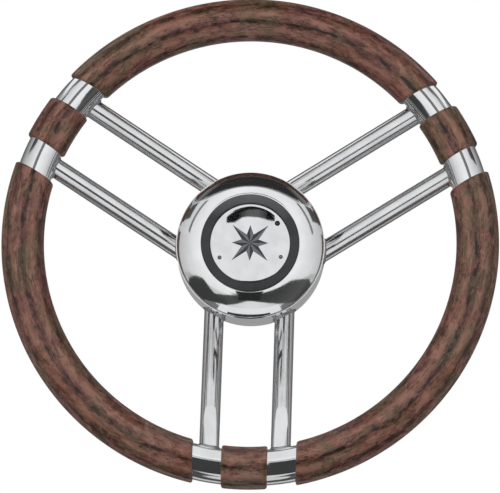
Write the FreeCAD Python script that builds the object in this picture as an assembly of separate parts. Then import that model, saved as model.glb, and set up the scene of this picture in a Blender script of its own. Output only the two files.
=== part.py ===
import FreeCAD, Part
import math
import os

# Boat steering wheel, in millimetres.
# The origin is the centre of the hub's back face, on the axis of the helm shaft.
# +Y points backwards, the way the shaft leaves the hub, so the face of the wheel looks along -Y.
# +Z is up, and the lowest pair of spokes points straight down.
# Lengths along the shaft are given as distances in front of the hub's back face.

# Rim
RIM_OUTER_D = 350.0
RIM_REACH = 46.0
RING_TUBE_D = 25.0
RING_TUBE_WALL = 1.5
RING_VENT_D = 5.0

# Grips
GRIP_D = 30.0
GRIP_BOND_GAP = 0.1
GRIP_END_ROUND = 1.8
SHORT_GRIP_LENGTH = 32.0
BARE_BAND_LENGTH = 20.0

# Spokes, in three parallel pairs
SPOKE_D = 14.0
SPOKE_WALL = 1.5
SPOKE_SPACING = 50.0
SPOKE_HUB_REACH = 10.0
WELD_LEG = 1.4
WELD_CHAMFER = 1.0

# Hub cup, which carries the spokes
HUB_D = 105.0
CUP_DEPTH = 34.4
CUP_WALL = 2.0
CUP_PANEL = 2.5
CUP_CORNER = 1.5

# Gasket and domed cover on the front of the cup
GASKET_THICKNESS = 0.8
DOME_SET_IN = 0.5
DOME_WALL = 1.5
DOME_EDGE_HEIGHT = 1.0
DOME_RISE = 8.1
DOME_BULGE = 1.6
DOME_SHOULDER = 1.6
DOME_SKIRT = 8.0
DOME_SKIRT_GAP = 0.1
DOME_LAND_D = 71.0
DOME_OPENING_D = 62.0

# Boss, bored 1 in 12 for a 3/4 inch tapered helm shaft
SHAFT_D = 19.05
SHAFT_TAPER = 1.0 / 12.0
KEYWAY_WIDTH = 4.76
KEYWAY_DEPTH = 2.4
COLLAR_RECESS_D = 26.0
COLLAR_RECESS_DEPTH = 4.0
NUT_SEAT_REACH = 26.0
NUT_POCKET_D = 29.0
NUT_POCKET_DEPTH = 5.0
BOSS_D = 37.0
BOSS_SPIGOT_D = 44.0
BOSS_SPIGOT_GAP = 0.15
FLANGE_D = 80.0
FLANGE_THICKNESS = 6.0
BOSS_CHAMFER = 1.0

# Countersunk screws that hold the boss in the cup
SCREW_COUNT = 6
SCREW_CIRCLE_D = 62.0
SCREW_D = 4.0
SCREW_HEAD_D = 8.0
SCREW_LENGTH = 8.0
SCREW_SUNK = 0.1
SCREW_GAP = 0.05
SCREW_SOCKET_WIDTH = 2.5
SCREW_SOCKET_DEPTH = 1.4

# Push-in cap that covers the shaft nut
CAP_D = 69.6
CAP_RIM_HEIGHT = 1.9
CAP_RIM_ROUND = 0.7
CAP_FLOOR = 1.8
CAP_SPIGOT_GAP = 0.3
CAP_SPIGOT_WALL = 1.7
CAP_FINGER_LENGTH = 5.3
CAP_FINGER_COUNT = 6
CAP_SLOT_WIDTH = 6.0
CAP_BARB = 1.0
CAP_BARB_HEIGHT = 1.5
CAP_BARB_GAP = 0.2
DISC_D = 56.6
DISC_GAP = 0.1
DISC_RECESS = 2.0
DISC_THICKNESS = 1.0
DISC_CROWN = 1.2
SEAL_SECTION_D = 1.2
SEAL_D = 65.6
SEAL_GROOVE_GAP = 0.2

# Directions of the spoke pairs, in degrees from +X towards +Z, with the side of each spoke
SPOKE_PAIRS = {
    "right": (30.0, {"upper": 1, "lower": -1}),
    "left": (150.0, {"upper": -1, "lower": 1}),
    "bottom": (270.0, {"right": 1, "left": -1}),
}
LONG_GRIPS = {"top": (30.0, 150.0), "left": (150.0, 270.0), "right": (270.0, 390.0)}

# Sizes that follow from the ones above
RING_R = (RIM_OUTER_D - GRIP_D) / 2
HUB_R = HUB_D / 2
HALF_SPACING = SPOKE_SPACING / 2
SHORT_GRIP_END = SHORT_GRIP_LENGTH / 2
LONG_GRIP_END = SHORT_GRIP_END + BARE_BAND_LENGTH
CUP_INNER_R = HUB_R - CUP_WALL
GASKET_FRONT = CUP_DEPTH + GASKET_THICKNESS
DOME_EDGE_R = HUB_R - DOME_SET_IN
LAND_FRONT = GASKET_FRONT + DOME_RISE
LAND_BACK = LAND_FRONT - DOME_WALL
CAP_FRONT = LAND_FRONT + CAP_RIM_HEIGHT
DISC_EDGE_FRONT = CAP_FRONT - DISC_RECESS
DISC_SEAT = DISC_EDGE_FRONT - DISC_THICKNESS
FLANGE_FRONT = CUP_PANEL + FLANGE_THICKNESS
BOSS_FRONT = NUT_SEAT_REACH + NUT_POCKET_DEPTH
BEYOND = 2 * RIM_OUTER_D

ORIGIN = FreeCAD.Vector(0, 0, 0)
SHAFT_AXIS = FreeCAD.Vector(0, 1, 0)
RIM_CENTRE = FreeCAD.Vector(0, -RIM_REACH, 0)


def turned(profile):
    """Turn a closed profile about the shaft axis.

    A profile is a list of (radius, reach) corners, where the reach is measured in front of the
    hub's back face. A corner with four numbers ends an arc, and its first two numbers are the
    point that the arc passes through.
    """
    edges = []
    last = profile[-1][-2:]
    for corner in profile:
        start = FreeCAD.Vector(last[0], -last[1], 0)
        end = FreeCAD.Vector(corner[-2], -corner[-1], 0)
        if len(corner) == 4:
            middle = FreeCAD.Vector(corner[0], -corner[1], 0)
            edges.append(Part.Arc(start, middle, end).toShape())
        else:
            edges.append(Part.LineSegment(start, end).toShape())
        last = corner[-2:]
    return Part.Face(Part.Wire(edges)).revolve(ORIGIN, SHAFT_AXIS, 360)


def around_shaft(shape, count, first_angle=0.0):
    """Copies of a shape, evenly spaced about the shaft axis."""
    copies = []
    for index in range(count):
        copy = shape.copy()
        copy.rotate(ORIGIN, SHAFT_AXIS, first_angle + 360.0 * index / count)
        copies.append(copy)
    return copies


def direction(angle):
    """Unit vector in the plane of the wheel, at an angle from +X towards +Z."""
    return FreeCAD.Vector(math.cos(math.radians(angle)), 0, math.sin(math.radians(angle)))


def rim_torus(radius):
    """A solid ring about the shaft axis, on the rim's centre line."""
    return Part.makeTorus(RING_R, radius, RIM_CENTRE, SHAFT_AXIS)


def hub_cylinder(radius):
    """A solid cylinder about the shaft axis that runs far past the hub both ways."""
    return Part.makeCylinder(radius, 2 * BEYOND, FreeCAD.Vector(0, -BEYOND, 0), SHAFT_AXIS)


def spoke_ends(angle, side):
    """Where a spoke's axis meets the hub's wall, and where it meets the rim's centre line."""
    outward = direction(angle)
    sideways = direction(angle + 90) * (side * HALF_SPACING)
    at_hub = outward * math.sqrt(HUB_R ** 2 - HALF_SPACING ** 2) + sideways
    at_rim = outward * math.sqrt(RING_R ** 2 - HALF_SPACING ** 2) + sideways
    at_hub.y = -SPOKE_HUB_REACH
    at_rim.y = -RIM_REACH
    return at_hub, at_rim


def spoke_rod(angle, side, radius):
    """A solid rod on a spoke's axis, from inside the hub's wall to the rim's centre line."""
    at_hub, at_rim = spoke_ends(angle, side)
    axis = at_rim - at_hub
    run_in = axis.normalize() * SPOKE_D
    start = at_hub - run_in
    return Part.makeCylinder(radius, (at_rim - start).Length, start, axis)


def each_spoke():
    """Name, direction and side of every spoke."""
    for pair, (angle, sides) in SPOKE_PAIRS.items():
        for place, side in sides.items():
            yield pair + "_" + place, angle, side


def rim_ring():
    """Bent and closed tube, with a vent hole under each spoke for the welding gas."""
    ring = rim_torus(RING_TUBE_D / 2).cut(rim_torus(RING_TUBE_D / 2 - RING_TUBE_WALL))
    vents = [spoke_rod(angle, side, RING_VENT_D / 2) for name, angle, side in each_spoke()]
    return ring.cut(vents)


def grip_sleeve(space):
    """The stretch of moulded grip that lies in a space, with its ends rounded over."""
    outside = rim_torus(GRIP_D / 2).common(space)
    sleeve = outside.cut(rim_torus(RING_TUBE_D / 2 + GRIP_BOND_GAP)).Solids[0]
    end_edges = []
    for face in sleeve.Faces:
        if isinstance(face.Surface, Part.Plane):
            end_edges.extend(face.OuterWire.Edges)
    return sleeve.makeFillet(GRIP_END_ROUND, end_edges)


def long_grip(first_angle, last_angle):
    """A grip from one spoke pair to the next, its ends parallel to the spokes beside them."""
    middle = (first_angle + last_angle) / 2
    corner_radius = LONG_GRIP_END / math.sin(math.radians((last_angle - first_angle) / 2))
    corner = direction(middle) * corner_radius
    corner.y = -BEYOND
    outline = Part.makePolygon([
        corner,
        corner + direction(first_angle) * BEYOND,
        corner + direction(last_angle) * BEYOND,
        corner,
    ])
    return grip_sleeve(Part.Face(outline).extrude(SHAFT_AXIS * (2 * BEYOND)))


def short_grip(angle):
    """The grip between the two spokes of a pair."""
    slab = Part.makeBox(BEYOND, 2 * BEYOND, SHORT_GRIP_LENGTH,
                        FreeCAD.Vector(0, -BEYOND, -SHORT_GRIP_END))
    slab.rotate(ORIGIN, SHAFT_AXIS, -angle)
    return grip_sleeve(slab)


def spoke(angle, side):
    """Straight tube, coped to the ring at one end and to the hub's wall at the other."""
    tube = spoke_rod(angle, side, SPOKE_D / 2).cut(spoke_rod(angle, side, SPOKE_D / 2 - SPOKE_WALL))
    return tube.cut([rim_torus(RING_TUBE_D / 2), hub_cylinder(HUB_R)]).Solids[0]


def weld_bead(outer_rod, grown_wall, wall, rod):
    """A collar that follows the line where a spoke meets a wall, with its corner sloped off."""
    collar = outer_rod.common(grown_wall).cut([wall, rod]).Solids[0]
    corner = []
    for edge in collar.Edges:
        if min(wall.distToShape(edge)[0], rod.distToShape(edge)[0]) > WELD_LEG / 2:
            corner.append(edge)
    return collar.makeChamfer(WELD_CHAMFER, corner)


def rim_welds():
    """Bead round each spoke where it meets the ring."""
    beads = []
    for name, angle, side in each_spoke():
        beads.append(weld_bead(spoke_rod(angle, side, SPOKE_D / 2 + WELD_LEG),
                               rim_torus(RING_TUBE_D / 2 + WELD_LEG),
                               rim_torus(RING_TUBE_D / 2),
                               spoke_rod(angle, side, SPOKE_D / 2)))
    return Part.makeCompound(beads)


def hub_welds():
    """Bead round each spoke where it meets the hub's wall."""
    beads = []
    for name, angle, side in each_spoke():
        beads.append(weld_bead(spoke_rod(angle, side, SPOKE_D / 2 + WELD_LEG),
                               hub_cylinder(HUB_R + WELD_LEG),
                               hub_cylinder(HUB_R),
                               spoke_rod(angle, side, SPOKE_D / 2)))
    return Part.makeCompound(beads)


def corner_arc(centre_radius, centre_reach, radius, from_angle, to_angle):
    """An arc's middle and end, ready for a profile."""
    middle = math.radians((from_angle + to_angle) / 2)
    end = math.radians(to_angle)
    return (centre_radius + radius * math.cos(middle), centre_reach + radius * math.sin(middle),
            centre_radius + radius * math.cos(end), centre_reach + radius * math.sin(end))


def screw_head_cone(gap):
    """The countersunk head's outline, from the hub's back face inwards."""
    head_r = SCREW_HEAD_D / 2 + gap
    shank_r = SCREW_D / 2 + gap
    return head_r, shank_r, SCREW_SUNK + head_r - shank_r


def screw_hole():
    """Countersunk hole for one screw, on the shaft axis."""
    head_r, shank_r, head_end = screw_head_cone(SCREW_GAP)
    return turned([(0, 0), (head_r, 0), (head_r, SCREW_SUNK), (shank_r, head_end),
                   (shank_r, FLANGE_FRONT + SCREW_D), (0, FLANGE_FRONT + SCREW_D)])


def screw():
    """Countersunk screw with a hexagon socket, on the shaft axis."""
    head_r, shank_r, head_end = screw_head_cone(0)
    body = turned([(0, SCREW_SUNK), (head_r, SCREW_SUNK), (shank_r, head_end),
                   (shank_r, SCREW_LENGTH), (0, SCREW_LENGTH)])
    corner_r = SCREW_SOCKET_WIDTH / 2 / math.cos(math.radians(30))
    corners = [direction(60 * step) * corner_r for step in range(7)]
    socket = Part.Face(Part.makePolygon(corners)).extrude(FreeCAD.Vector(0, -SCREW_SOCKET_DEPTH, 0))
    socket.translate(FreeCAD.Vector(0, -SCREW_SUNK, 0))
    return body.cut(socket)


def on_screw_circle(shape):
    """Copies of a screw or its hole at every place on the screw circle."""
    shape.translate(FreeCAD.Vector(SCREW_CIRCLE_D / 2, 0, 0))
    return around_shaft(shape, SCREW_COUNT, 180.0 / SCREW_COUNT)


def hub_cup():
    """Drawn cup, open to the front, whose back panel carries the boss."""
    hole_r = BOSS_SPIGOT_D / 2 + BOSS_SPIGOT_GAP
    cup = turned([
        (hole_r, 0),
        (HUB_R - CUP_CORNER, 0),
        corner_arc(HUB_R - CUP_CORNER, CUP_CORNER, CUP_CORNER, -90, 0),
        (HUB_R, CUP_DEPTH),
        (CUP_INNER_R, CUP_DEPTH),
        (CUP_INNER_R, CUP_PANEL + CUP_CORNER),
        corner_arc(CUP_INNER_R - CUP_CORNER, CUP_PANEL + CUP_CORNER, CUP_CORNER, 0, -90),
        (hole_r, CUP_PANEL),
    ])
    return cup.cut(on_screw_circle(screw_hole()))


def hub_gasket():
    """Flat ring in the joint between the cup and the cover."""
    return turned([(CUP_INNER_R, CUP_DEPTH), (DOME_EDGE_R, CUP_DEPTH),
                   (DOME_EDGE_R, GASKET_FRONT), (CUP_INNER_R, GASKET_FRONT)])


def crown_circle():
    """Centre and radius of the arc from the dome's edge up to the flat land round the cap."""
    low = (DOME_EDGE_R, GASKET_FRONT + DOME_EDGE_HEIGHT)
    high = (DOME_LAND_D / 2, LAND_FRONT)
    run = low[0] - high[0]
    rise = high[1] - low[1]
    chord = math.hypot(run, rise)
    radius = chord ** 2 / (8 * DOME_BULGE) + DOME_BULGE / 2
    back_off = radius - DOME_BULGE
    centre = ((low[0] + high[0]) / 2 - back_off * rise / chord,
              (low[1] + high[1]) / 2 - back_off * run / chord)
    return centre, radius


def crown_reach(radius_at, wall):
    """How far forward the dome's crown lies at a radius, under a thickness of wall."""
    centre, radius = crown_circle()
    return centre[1] + math.sqrt((radius - wall) ** 2 - (radius_at - centre[0]) ** 2)


def crown_radius(reach_at, wall):
    """The radius at which the dome's crown lies that far forward, under a thickness of wall."""
    centre, radius = crown_circle()
    return centre[0] + math.sqrt((radius - wall) ** 2 - (reach_at - centre[1]) ** 2)


def hub_dome():
    """Pressed cover: a land with the cap's opening, a crown, and a skirt that enters the cup."""
    opening_r = DOME_OPENING_D / 2
    land_r = DOME_LAND_D / 2
    skirt_r = CUP_INNER_R - DOME_SKIRT_GAP
    skirt_inner_r = skirt_r - DOME_WALL
    skirt_end = GASKET_FRONT - DOME_SKIRT
    inner_land_r = crown_radius(LAND_BACK, DOME_WALL)
    outer_middle = (DOME_EDGE_R + land_r) / 2
    inner_middle = (skirt_inner_r + inner_land_r) / 2
    dome = turned([
        (opening_r, LAND_BACK),
        (inner_land_r, LAND_BACK),
        (inner_middle, crown_reach(inner_middle, DOME_WALL),
         skirt_inner_r, crown_reach(skirt_inner_r, DOME_WALL)),
        (skirt_inner_r, skirt_end),
        (skirt_r, skirt_end),
        (skirt_r, GASKET_FRONT),
        (DOME_EDGE_R, GASKET_FRONT),
        (DOME_EDGE_R, GASKET_FRONT + DOME_EDGE_HEIGHT),
        (outer_middle, crown_reach(outer_middle, 0), land_r, LAND_FRONT),
        (opening_r, LAND_FRONT),
    ])
    return dome.makeFillet(DOME_SHOULDER, circles_at(dome, DOME_EDGE_R,
                                                     GASKET_FRONT + DOME_EDGE_HEIGHT))


def circles_at(shape, radius, reach):
    """The circular edges of a turned shape at a radius and a reach."""
    found = []
    for edge in shape.Edges:
        if isinstance(edge.Curve, Part.Circle):
            same_radius = abs(edge.Curve.Radius - radius) < 0.001
            same_reach = abs(edge.Curve.Center.y + reach) < 0.001
            if same_radius and same_reach:
                found.append(edge)
    return found


def hub_boss():
    """Turned boss: flange, collar recess, keyed taper, and the pocket for the shaft's nut."""
    recess_r = COLLAR_RECESS_D / 2
    large_r = SHAFT_D / 2
    small_r = large_r - (NUT_SEAT_REACH - COLLAR_RECESS_DEPTH) * SHAFT_TAPER / 2
    boss = turned([
        (recess_r, 0),
        (BOSS_SPIGOT_D / 2, 0),
        (BOSS_SPIGOT_D / 2, CUP_PANEL),
        (FLANGE_D / 2, CUP_PANEL),
        (FLANGE_D / 2, FLANGE_FRONT - BOSS_CHAMFER),
        (FLANGE_D / 2 - BOSS_CHAMFER, FLANGE_FRONT),
        (BOSS_D / 2, FLANGE_FRONT),
        (BOSS_D / 2, BOSS_FRONT - BOSS_CHAMFER),
        (BOSS_D / 2 - BOSS_CHAMFER, BOSS_FRONT),
        (NUT_POCKET_D / 2, BOSS_FRONT),
        (NUT_POCKET_D / 2, NUT_SEAT_REACH),
        (small_r, NUT_SEAT_REACH),
        (large_r, COLLAR_RECESS_DEPTH),
        (recess_r, COLLAR_RECESS_DEPTH),
    ])
    keyway = Part.makeBox(KEYWAY_WIDTH, NUT_SEAT_REACH, large_r + KEYWAY_DEPTH,
                          FreeCAD.Vector(-KEYWAY_WIDTH / 2, -NUT_SEAT_REACH, 0))
    return boss.cut([keyway] + on_screw_circle(screw_hole()))


def boss_screws():
    """All the screws that hold the boss against the cup's back panel."""
    return Part.makeCompound(on_screw_circle(screw()))


def cap_body():
    """Moulded cap: a rim round the disc's seat, a groove for the seal, and snap fingers."""
    rim_r = CAP_D / 2
    seat_r = DISC_D / 2 + DISC_GAP
    spigot_r = DOME_OPENING_D / 2 - CAP_SPIGOT_GAP
    inner_r = spigot_r - CAP_SPIGOT_WALL
    floor_back = DISC_SEAT - CAP_FLOOR
    finger_end = floor_back - CAP_FINGER_LENGTH
    barb_front = LAND_BACK - CAP_BARB_GAP
    barb_r = spigot_r + CAP_BARB
    groove_inner = SEAL_D / 2 - SEAL_SECTION_D / 2 - SEAL_GROOVE_GAP
    groove_outer = SEAL_D / 2 + SEAL_SECTION_D / 2 + SEAL_GROOVE_GAP
    groove_top = LAND_FRONT + SEAL_SECTION_D
    body = turned([
        (0, DISC_SEAT),
        (0, floor_back),
        (inner_r, floor_back),
        (inner_r, finger_end),
        (spigot_r, finger_end),
        (barb_r, barb_front - CAP_BARB_HEIGHT),
        (barb_r, barb_front),
        (spigot_r, barb_front),
        (spigot_r, LAND_FRONT),
        (groove_inner, LAND_FRONT),
        (groove_inner, groove_top),
        (groove_outer, groove_top),
        (groove_outer, LAND_FRONT),
        (rim_r, LAND_FRONT),
        (rim_r, CAP_FRONT),
        (seat_r, CAP_FRONT),
        (seat_r, DISC_SEAT),
    ])
    body = body.makeFillet(CAP_RIM_ROUND, circles_at(body, rim_r, CAP_FRONT)
                           + circles_at(body, seat_r, CAP_FRONT))
    slot = Part.makeBox(barb_r, CAP_FINGER_LENGTH, CAP_SLOT_WIDTH,
                        FreeCAD.Vector(inner_r / 2, -floor_back, -CAP_SLOT_WIDTH / 2))
    return body.cut(around_shaft(slot, CAP_FINGER_COUNT))


def cap_disc():
    """Thin crowned disc in the cap's seat."""
    disc_r = DISC_D / 2
    crown = DISC_EDGE_FRONT + DISC_CROWN
    middle_r = disc_r / 2
    sphere_r = (disc_r ** 2 + DISC_CROWN ** 2) / (2 * DISC_CROWN)
    middle = crown - sphere_r + math.sqrt(sphere_r ** 2 - middle_r ** 2)
    return turned([
        (0, DISC_SEAT),
        (disc_r, DISC_SEAT),
        (disc_r, DISC_EDGE_FRONT),
        (middle_r, middle, 0, crown),
    ])


def cap_seal():
    """Rubber ring in the cap's groove, on the dome's land."""
    centre = FreeCAD.Vector(0, -LAND_FRONT - SEAL_SECTION_D / 2, 0)
    return Part.makeTorus(SEAL_D / 2, SEAL_SECTION_D / 2, centre, SHAFT_AXIS)


def all_parts():
    """Every sub-part of the wheel by name."""
    parts = {"rim_ring": rim_ring()}
    for place, (first_angle, last_angle) in LONG_GRIPS.items():
        parts["long_grip_" + place] = long_grip(first_angle, last_angle)
    for place, (angle, sides) in SPOKE_PAIRS.items():
        parts["short_grip_" + place] = short_grip(angle)
    for name, angle, side in each_spoke():
        parts["spoke_" + name] = spoke(angle, side)
    parts["rim_welds"] = rim_welds()
    parts["hub_welds"] = hub_welds()
    parts["hub_cup"] = hub_cup()
    parts["hub_gasket"] = hub_gasket()
    parts["hub_dome"] = hub_dome()
    parts["hub_boss"] = hub_boss()
    parts["boss_screws"] = boss_screws()
    parts["cap_body"] = cap_body()
    parts["cap_disc"] = cap_disc()
    parts["cap_seal"] = cap_seal()
    return parts


os.makedirs("parts", exist_ok=True)
for part_name, part_shape in all_parts().items():
    solids = part_shape.Solids
    volume = sum(solid.Volume for solid in solids)
    print(part_name, "solids", len(solids), "valid", part_shape.isValid(),
          "volume %.0f" % volume)
    part_shape.exportStep("parts/" + part_name + ".step")
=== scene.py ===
"""Finishes, fine shapes and studio of a boat steering wheel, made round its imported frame.

Lengths are in metres. The shaft runs along Y and the face of the wheel looks along -Y. A reach is a
distance in front of the hub's back face, so a point at a reach lies at y = -reach.
"""

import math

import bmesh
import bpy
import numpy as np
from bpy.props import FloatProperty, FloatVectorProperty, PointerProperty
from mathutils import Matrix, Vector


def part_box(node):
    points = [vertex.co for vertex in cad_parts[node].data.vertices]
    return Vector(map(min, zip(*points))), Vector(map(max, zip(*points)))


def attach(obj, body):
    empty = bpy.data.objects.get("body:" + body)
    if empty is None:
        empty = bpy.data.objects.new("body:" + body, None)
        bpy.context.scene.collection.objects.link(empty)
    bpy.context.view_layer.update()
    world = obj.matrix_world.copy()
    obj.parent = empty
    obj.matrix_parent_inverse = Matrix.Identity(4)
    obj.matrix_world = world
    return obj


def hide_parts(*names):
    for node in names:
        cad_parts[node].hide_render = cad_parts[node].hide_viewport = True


bl_info = {
    "name": "Boat Steering Wheel",
    "version": (1, 0, 0),
    "blender": (4, 5, 0),
    "location": "3D View > Sidebar > Steering Wheel",
    "description": "Finishes, fine shapes and studio of a boat steering wheel",
    "category": "Add Mesh",
}

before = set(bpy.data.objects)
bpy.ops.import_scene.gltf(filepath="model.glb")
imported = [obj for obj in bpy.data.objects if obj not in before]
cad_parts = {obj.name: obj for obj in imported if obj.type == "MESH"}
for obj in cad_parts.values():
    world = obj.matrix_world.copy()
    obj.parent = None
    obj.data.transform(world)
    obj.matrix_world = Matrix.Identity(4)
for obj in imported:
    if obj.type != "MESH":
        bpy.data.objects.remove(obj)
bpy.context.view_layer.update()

BODY = "root"

# What the frame says of the wheel
RING_LOW, RING_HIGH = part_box("rim_ring")
GRIP_LOW, GRIP_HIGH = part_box("long_grip_top")
SPOKE_LOW, SPOKE_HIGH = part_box("spoke_bottom_right")
SHORT_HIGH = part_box("short_grip_bottom")[1]
LEFT_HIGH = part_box("long_grip_left")[1]
CUP_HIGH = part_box("hub_cup")[1]
DOME_LOW, DOME_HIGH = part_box("hub_dome")
GASKET_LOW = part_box("hub_gasket")[0]
DISC_LOW, DISC_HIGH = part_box("cap_disc")

RIM_REACH = -(RING_LOW.y + RING_HIGH.y) / 2
RING_TUBE_R = (RING_HIGH.y - RING_LOW.y) / 2
GRIP_R = (GRIP_HIGH.y - GRIP_LOW.y) / 2
RIM_R = GRIP_HIGH.z - GRIP_R
HALF_SPACING = (SPOKE_LOW.x + SPOKE_HIGH.x) / 2
RIM_CENTRE = Vector((0, -RIM_REACH, 0))

# Directions of the spoke pairs and of the grips between them, in degrees from +X towards +Z
SPOKE_PAIRS = {
    "right": (30.0, {"upper": 1, "lower": -1}),
    "left": (150.0, {"upper": -1, "lower": 1}),
    "bottom": (270.0, {"right": 1, "left": -1}),
}
LONG_GRIPS = {"top": (30.0, 150.0), "left": (150.0, 270.0), "right": (270.0, 390.0)}

SHARP_ANGLE = math.radians(35)
WELD_DISTANCE = 1e-7

# Fineness of the meshes: steps round a section or round the shaft, along a length, and over a
# corner, and how often an interval is halved to find where a line crosses a wall
GRIP_SECTION_STEPS = 96
GRIP_LENGTH_STEPS = 190
GRIP_BORE_STEPS = 90
GRIP_CORNER_STEPS = 9
SPOKE_SECTION_STEPS = 72
SPOKE_LENGTH_STEPS = 34
WELD_SECTION_STEPS = 288
WELD_ROWS = 11
DOME_STEPS = 288
DISC_STEPS = 192
ROSE_STEPS = 12
DOT_STEPS = 24
HALVINGS = 44

# Step of a curved reflection card in degrees, and half the floor's width
CARD_STEP = 4.0
FLOOR_HALF = 12.0

GRAIN_PLACE = "grain_place"
TUBE_PLACE = "tube_place"
CARD_TONE = "card_tone"


class RimSizes(bpy.types.PropertyGroup):
    """Sizes of the grips on the rim."""

    grip_radius: FloatProperty(
        name="Grip radius", description="Radius of a grip's section",
        default=GRIP_R, unit="LENGTH", subtype="DISTANCE")
    grip_bore: FloatProperty(
        name="Grip bore", description="Inner radius of a grip, just clear of the ring",
        default=RING_TUBE_R + 0.0001, unit="LENGTH", subtype="DISTANCE")
    grip_end_round: FloatProperty(
        name="End rounding", description="Radius at the outer edge of a grip's ends",
        default=0.0018, unit="LENGTH", subtype="DISTANCE")
    short_grip_half: FloatProperty(
        name="Short grip half length",
        description="From a pair's centre line to a short grip's end",
        default=SHORT_HIGH.x, unit="LENGTH", subtype="DISTANCE")
    long_grip_start: FloatProperty(
        name="Long grip start", description="From a pair's centre line to a long grip's end",
        default=-LEFT_HIGH.x, unit="LENGTH", subtype="DISTANCE")


class SpokeSizes(bpy.types.PropertyGroup):
    """Sizes of the spokes and of their welds."""

    radius: FloatProperty(
        name="Radius", description="Outer radius of a spoke's tube",
        default=(SPOKE_HIGH.x - SPOKE_LOW.x) / 2, unit="LENGTH", subtype="DISTANCE")
    wall: FloatProperty(
        name="Wall", description="Wall of a spoke's tube",
        default=0.0015, unit="LENGTH", subtype="DISTANCE")
    hub_reach: FloatProperty(
        name="Reach at the hub", description="Where a spoke's axis meets the hub's wall",
        default=0.010, unit="LENGTH", subtype="DISTANCE")
    weld_leg: FloatProperty(
        name="Weld leg", description="How far a weld bead runs along the spoke and the wall",
        default=0.0014, unit="LENGTH", subtype="DISTANCE")
    weld_pitch: FloatProperty(
        name="Weld pitch", description="Distance from one ripple of a weld to the next",
        default=0.0011, unit="LENGTH", subtype="DISTANCE")
    weld_ripple: FloatProperty(
        name="Weld ripple", description="Share of a weld's size that its ripples take",
        default=0.09, min=0, max=0.5)


class HubSizes(bpy.types.PropertyGroup):
    """Sizes of the domed cover and of the cap's disc."""

    dome_edge_height: FloatProperty(
        name="Dome edge", description="Straight edge of the dome above its gasket",
        default=0.0010, unit="LENGTH", subtype="DISTANCE")
    dome_bulge: FloatProperty(
        name="Dome bulge", description="How far the dome's crown stands out from a straight cone",
        default=0.0016, unit="LENGTH", subtype="DISTANCE")
    dome_shoulder: FloatProperty(
        name="Dome shoulder", description="Radius between the dome's edge and its crown",
        default=0.0016, unit="LENGTH", subtype="DISTANCE")
    dome_wall: FloatProperty(
        name="Dome wall", description="Thickness of the dome's sheet",
        default=0.0015, unit="LENGTH", subtype="DISTANCE")
    dome_skirt_gap: FloatProperty(
        name="Skirt gap", description="Room between the dome's skirt and the cup",
        default=0.0001, unit="LENGTH", subtype="DISTANCE")
    cup_wall: FloatProperty(
        name="Cup wall", description="Thickness of the cup's wall",
        default=0.0020, unit="LENGTH", subtype="DISTANCE")
    land_radius: FloatProperty(
        name="Land radius", description="Outer radius of the flat land round the cap",
        default=0.0355, unit="LENGTH", subtype="DISTANCE")
    opening_radius: FloatProperty(
        name="Opening radius", description="Radius of the dome's opening for the cap",
        default=0.0310, unit="LENGTH", subtype="DISTANCE")
    disc_crown: FloatProperty(
        name="Disc crown",
        description="How far the middle of the cap's disc stands out from its edge",
        default=0.0012, unit="LENGTH", subtype="DISTANCE")
    disc_edge: FloatProperty(
        name="Disc edge", description="Small radius round the disc's front edge",
        default=0.0003, unit="LENGTH", subtype="DISTANCE")
    rose_long: FloatProperty(
        name="Long point", description="From the middle of the wind rose to a long point",
        default=0.0180, unit="LENGTH", subtype="DISTANCE")
    rose_short: FloatProperty(
        name="Short point", description="From the middle of the wind rose to a short point",
        default=0.0128, unit="LENGTH", subtype="DISTANCE")
    rose_waist: FloatProperty(
        name="Waist",
        description="From the middle of the wind rose to the notch between two points",
        default=0.0064, unit="LENGTH", subtype="DISTANCE")
    rose_relief: FloatProperty(
        name="Relief", description="How far the enamel stands out from the disc",
        default=0.00006, unit="LENGTH", subtype="DISTANCE")
    dot_circle: FloatProperty(
        name="Dot circle", description="Radius of the circle on which the dots lie",
        default=0.0238, unit="LENGTH", subtype="DISTANCE")
    dot_radius: FloatProperty(
        name="Dot radius", description="Radius of the largest dot",
        default=0.0019, unit="LENGTH", subtype="DISTANCE")


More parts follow.
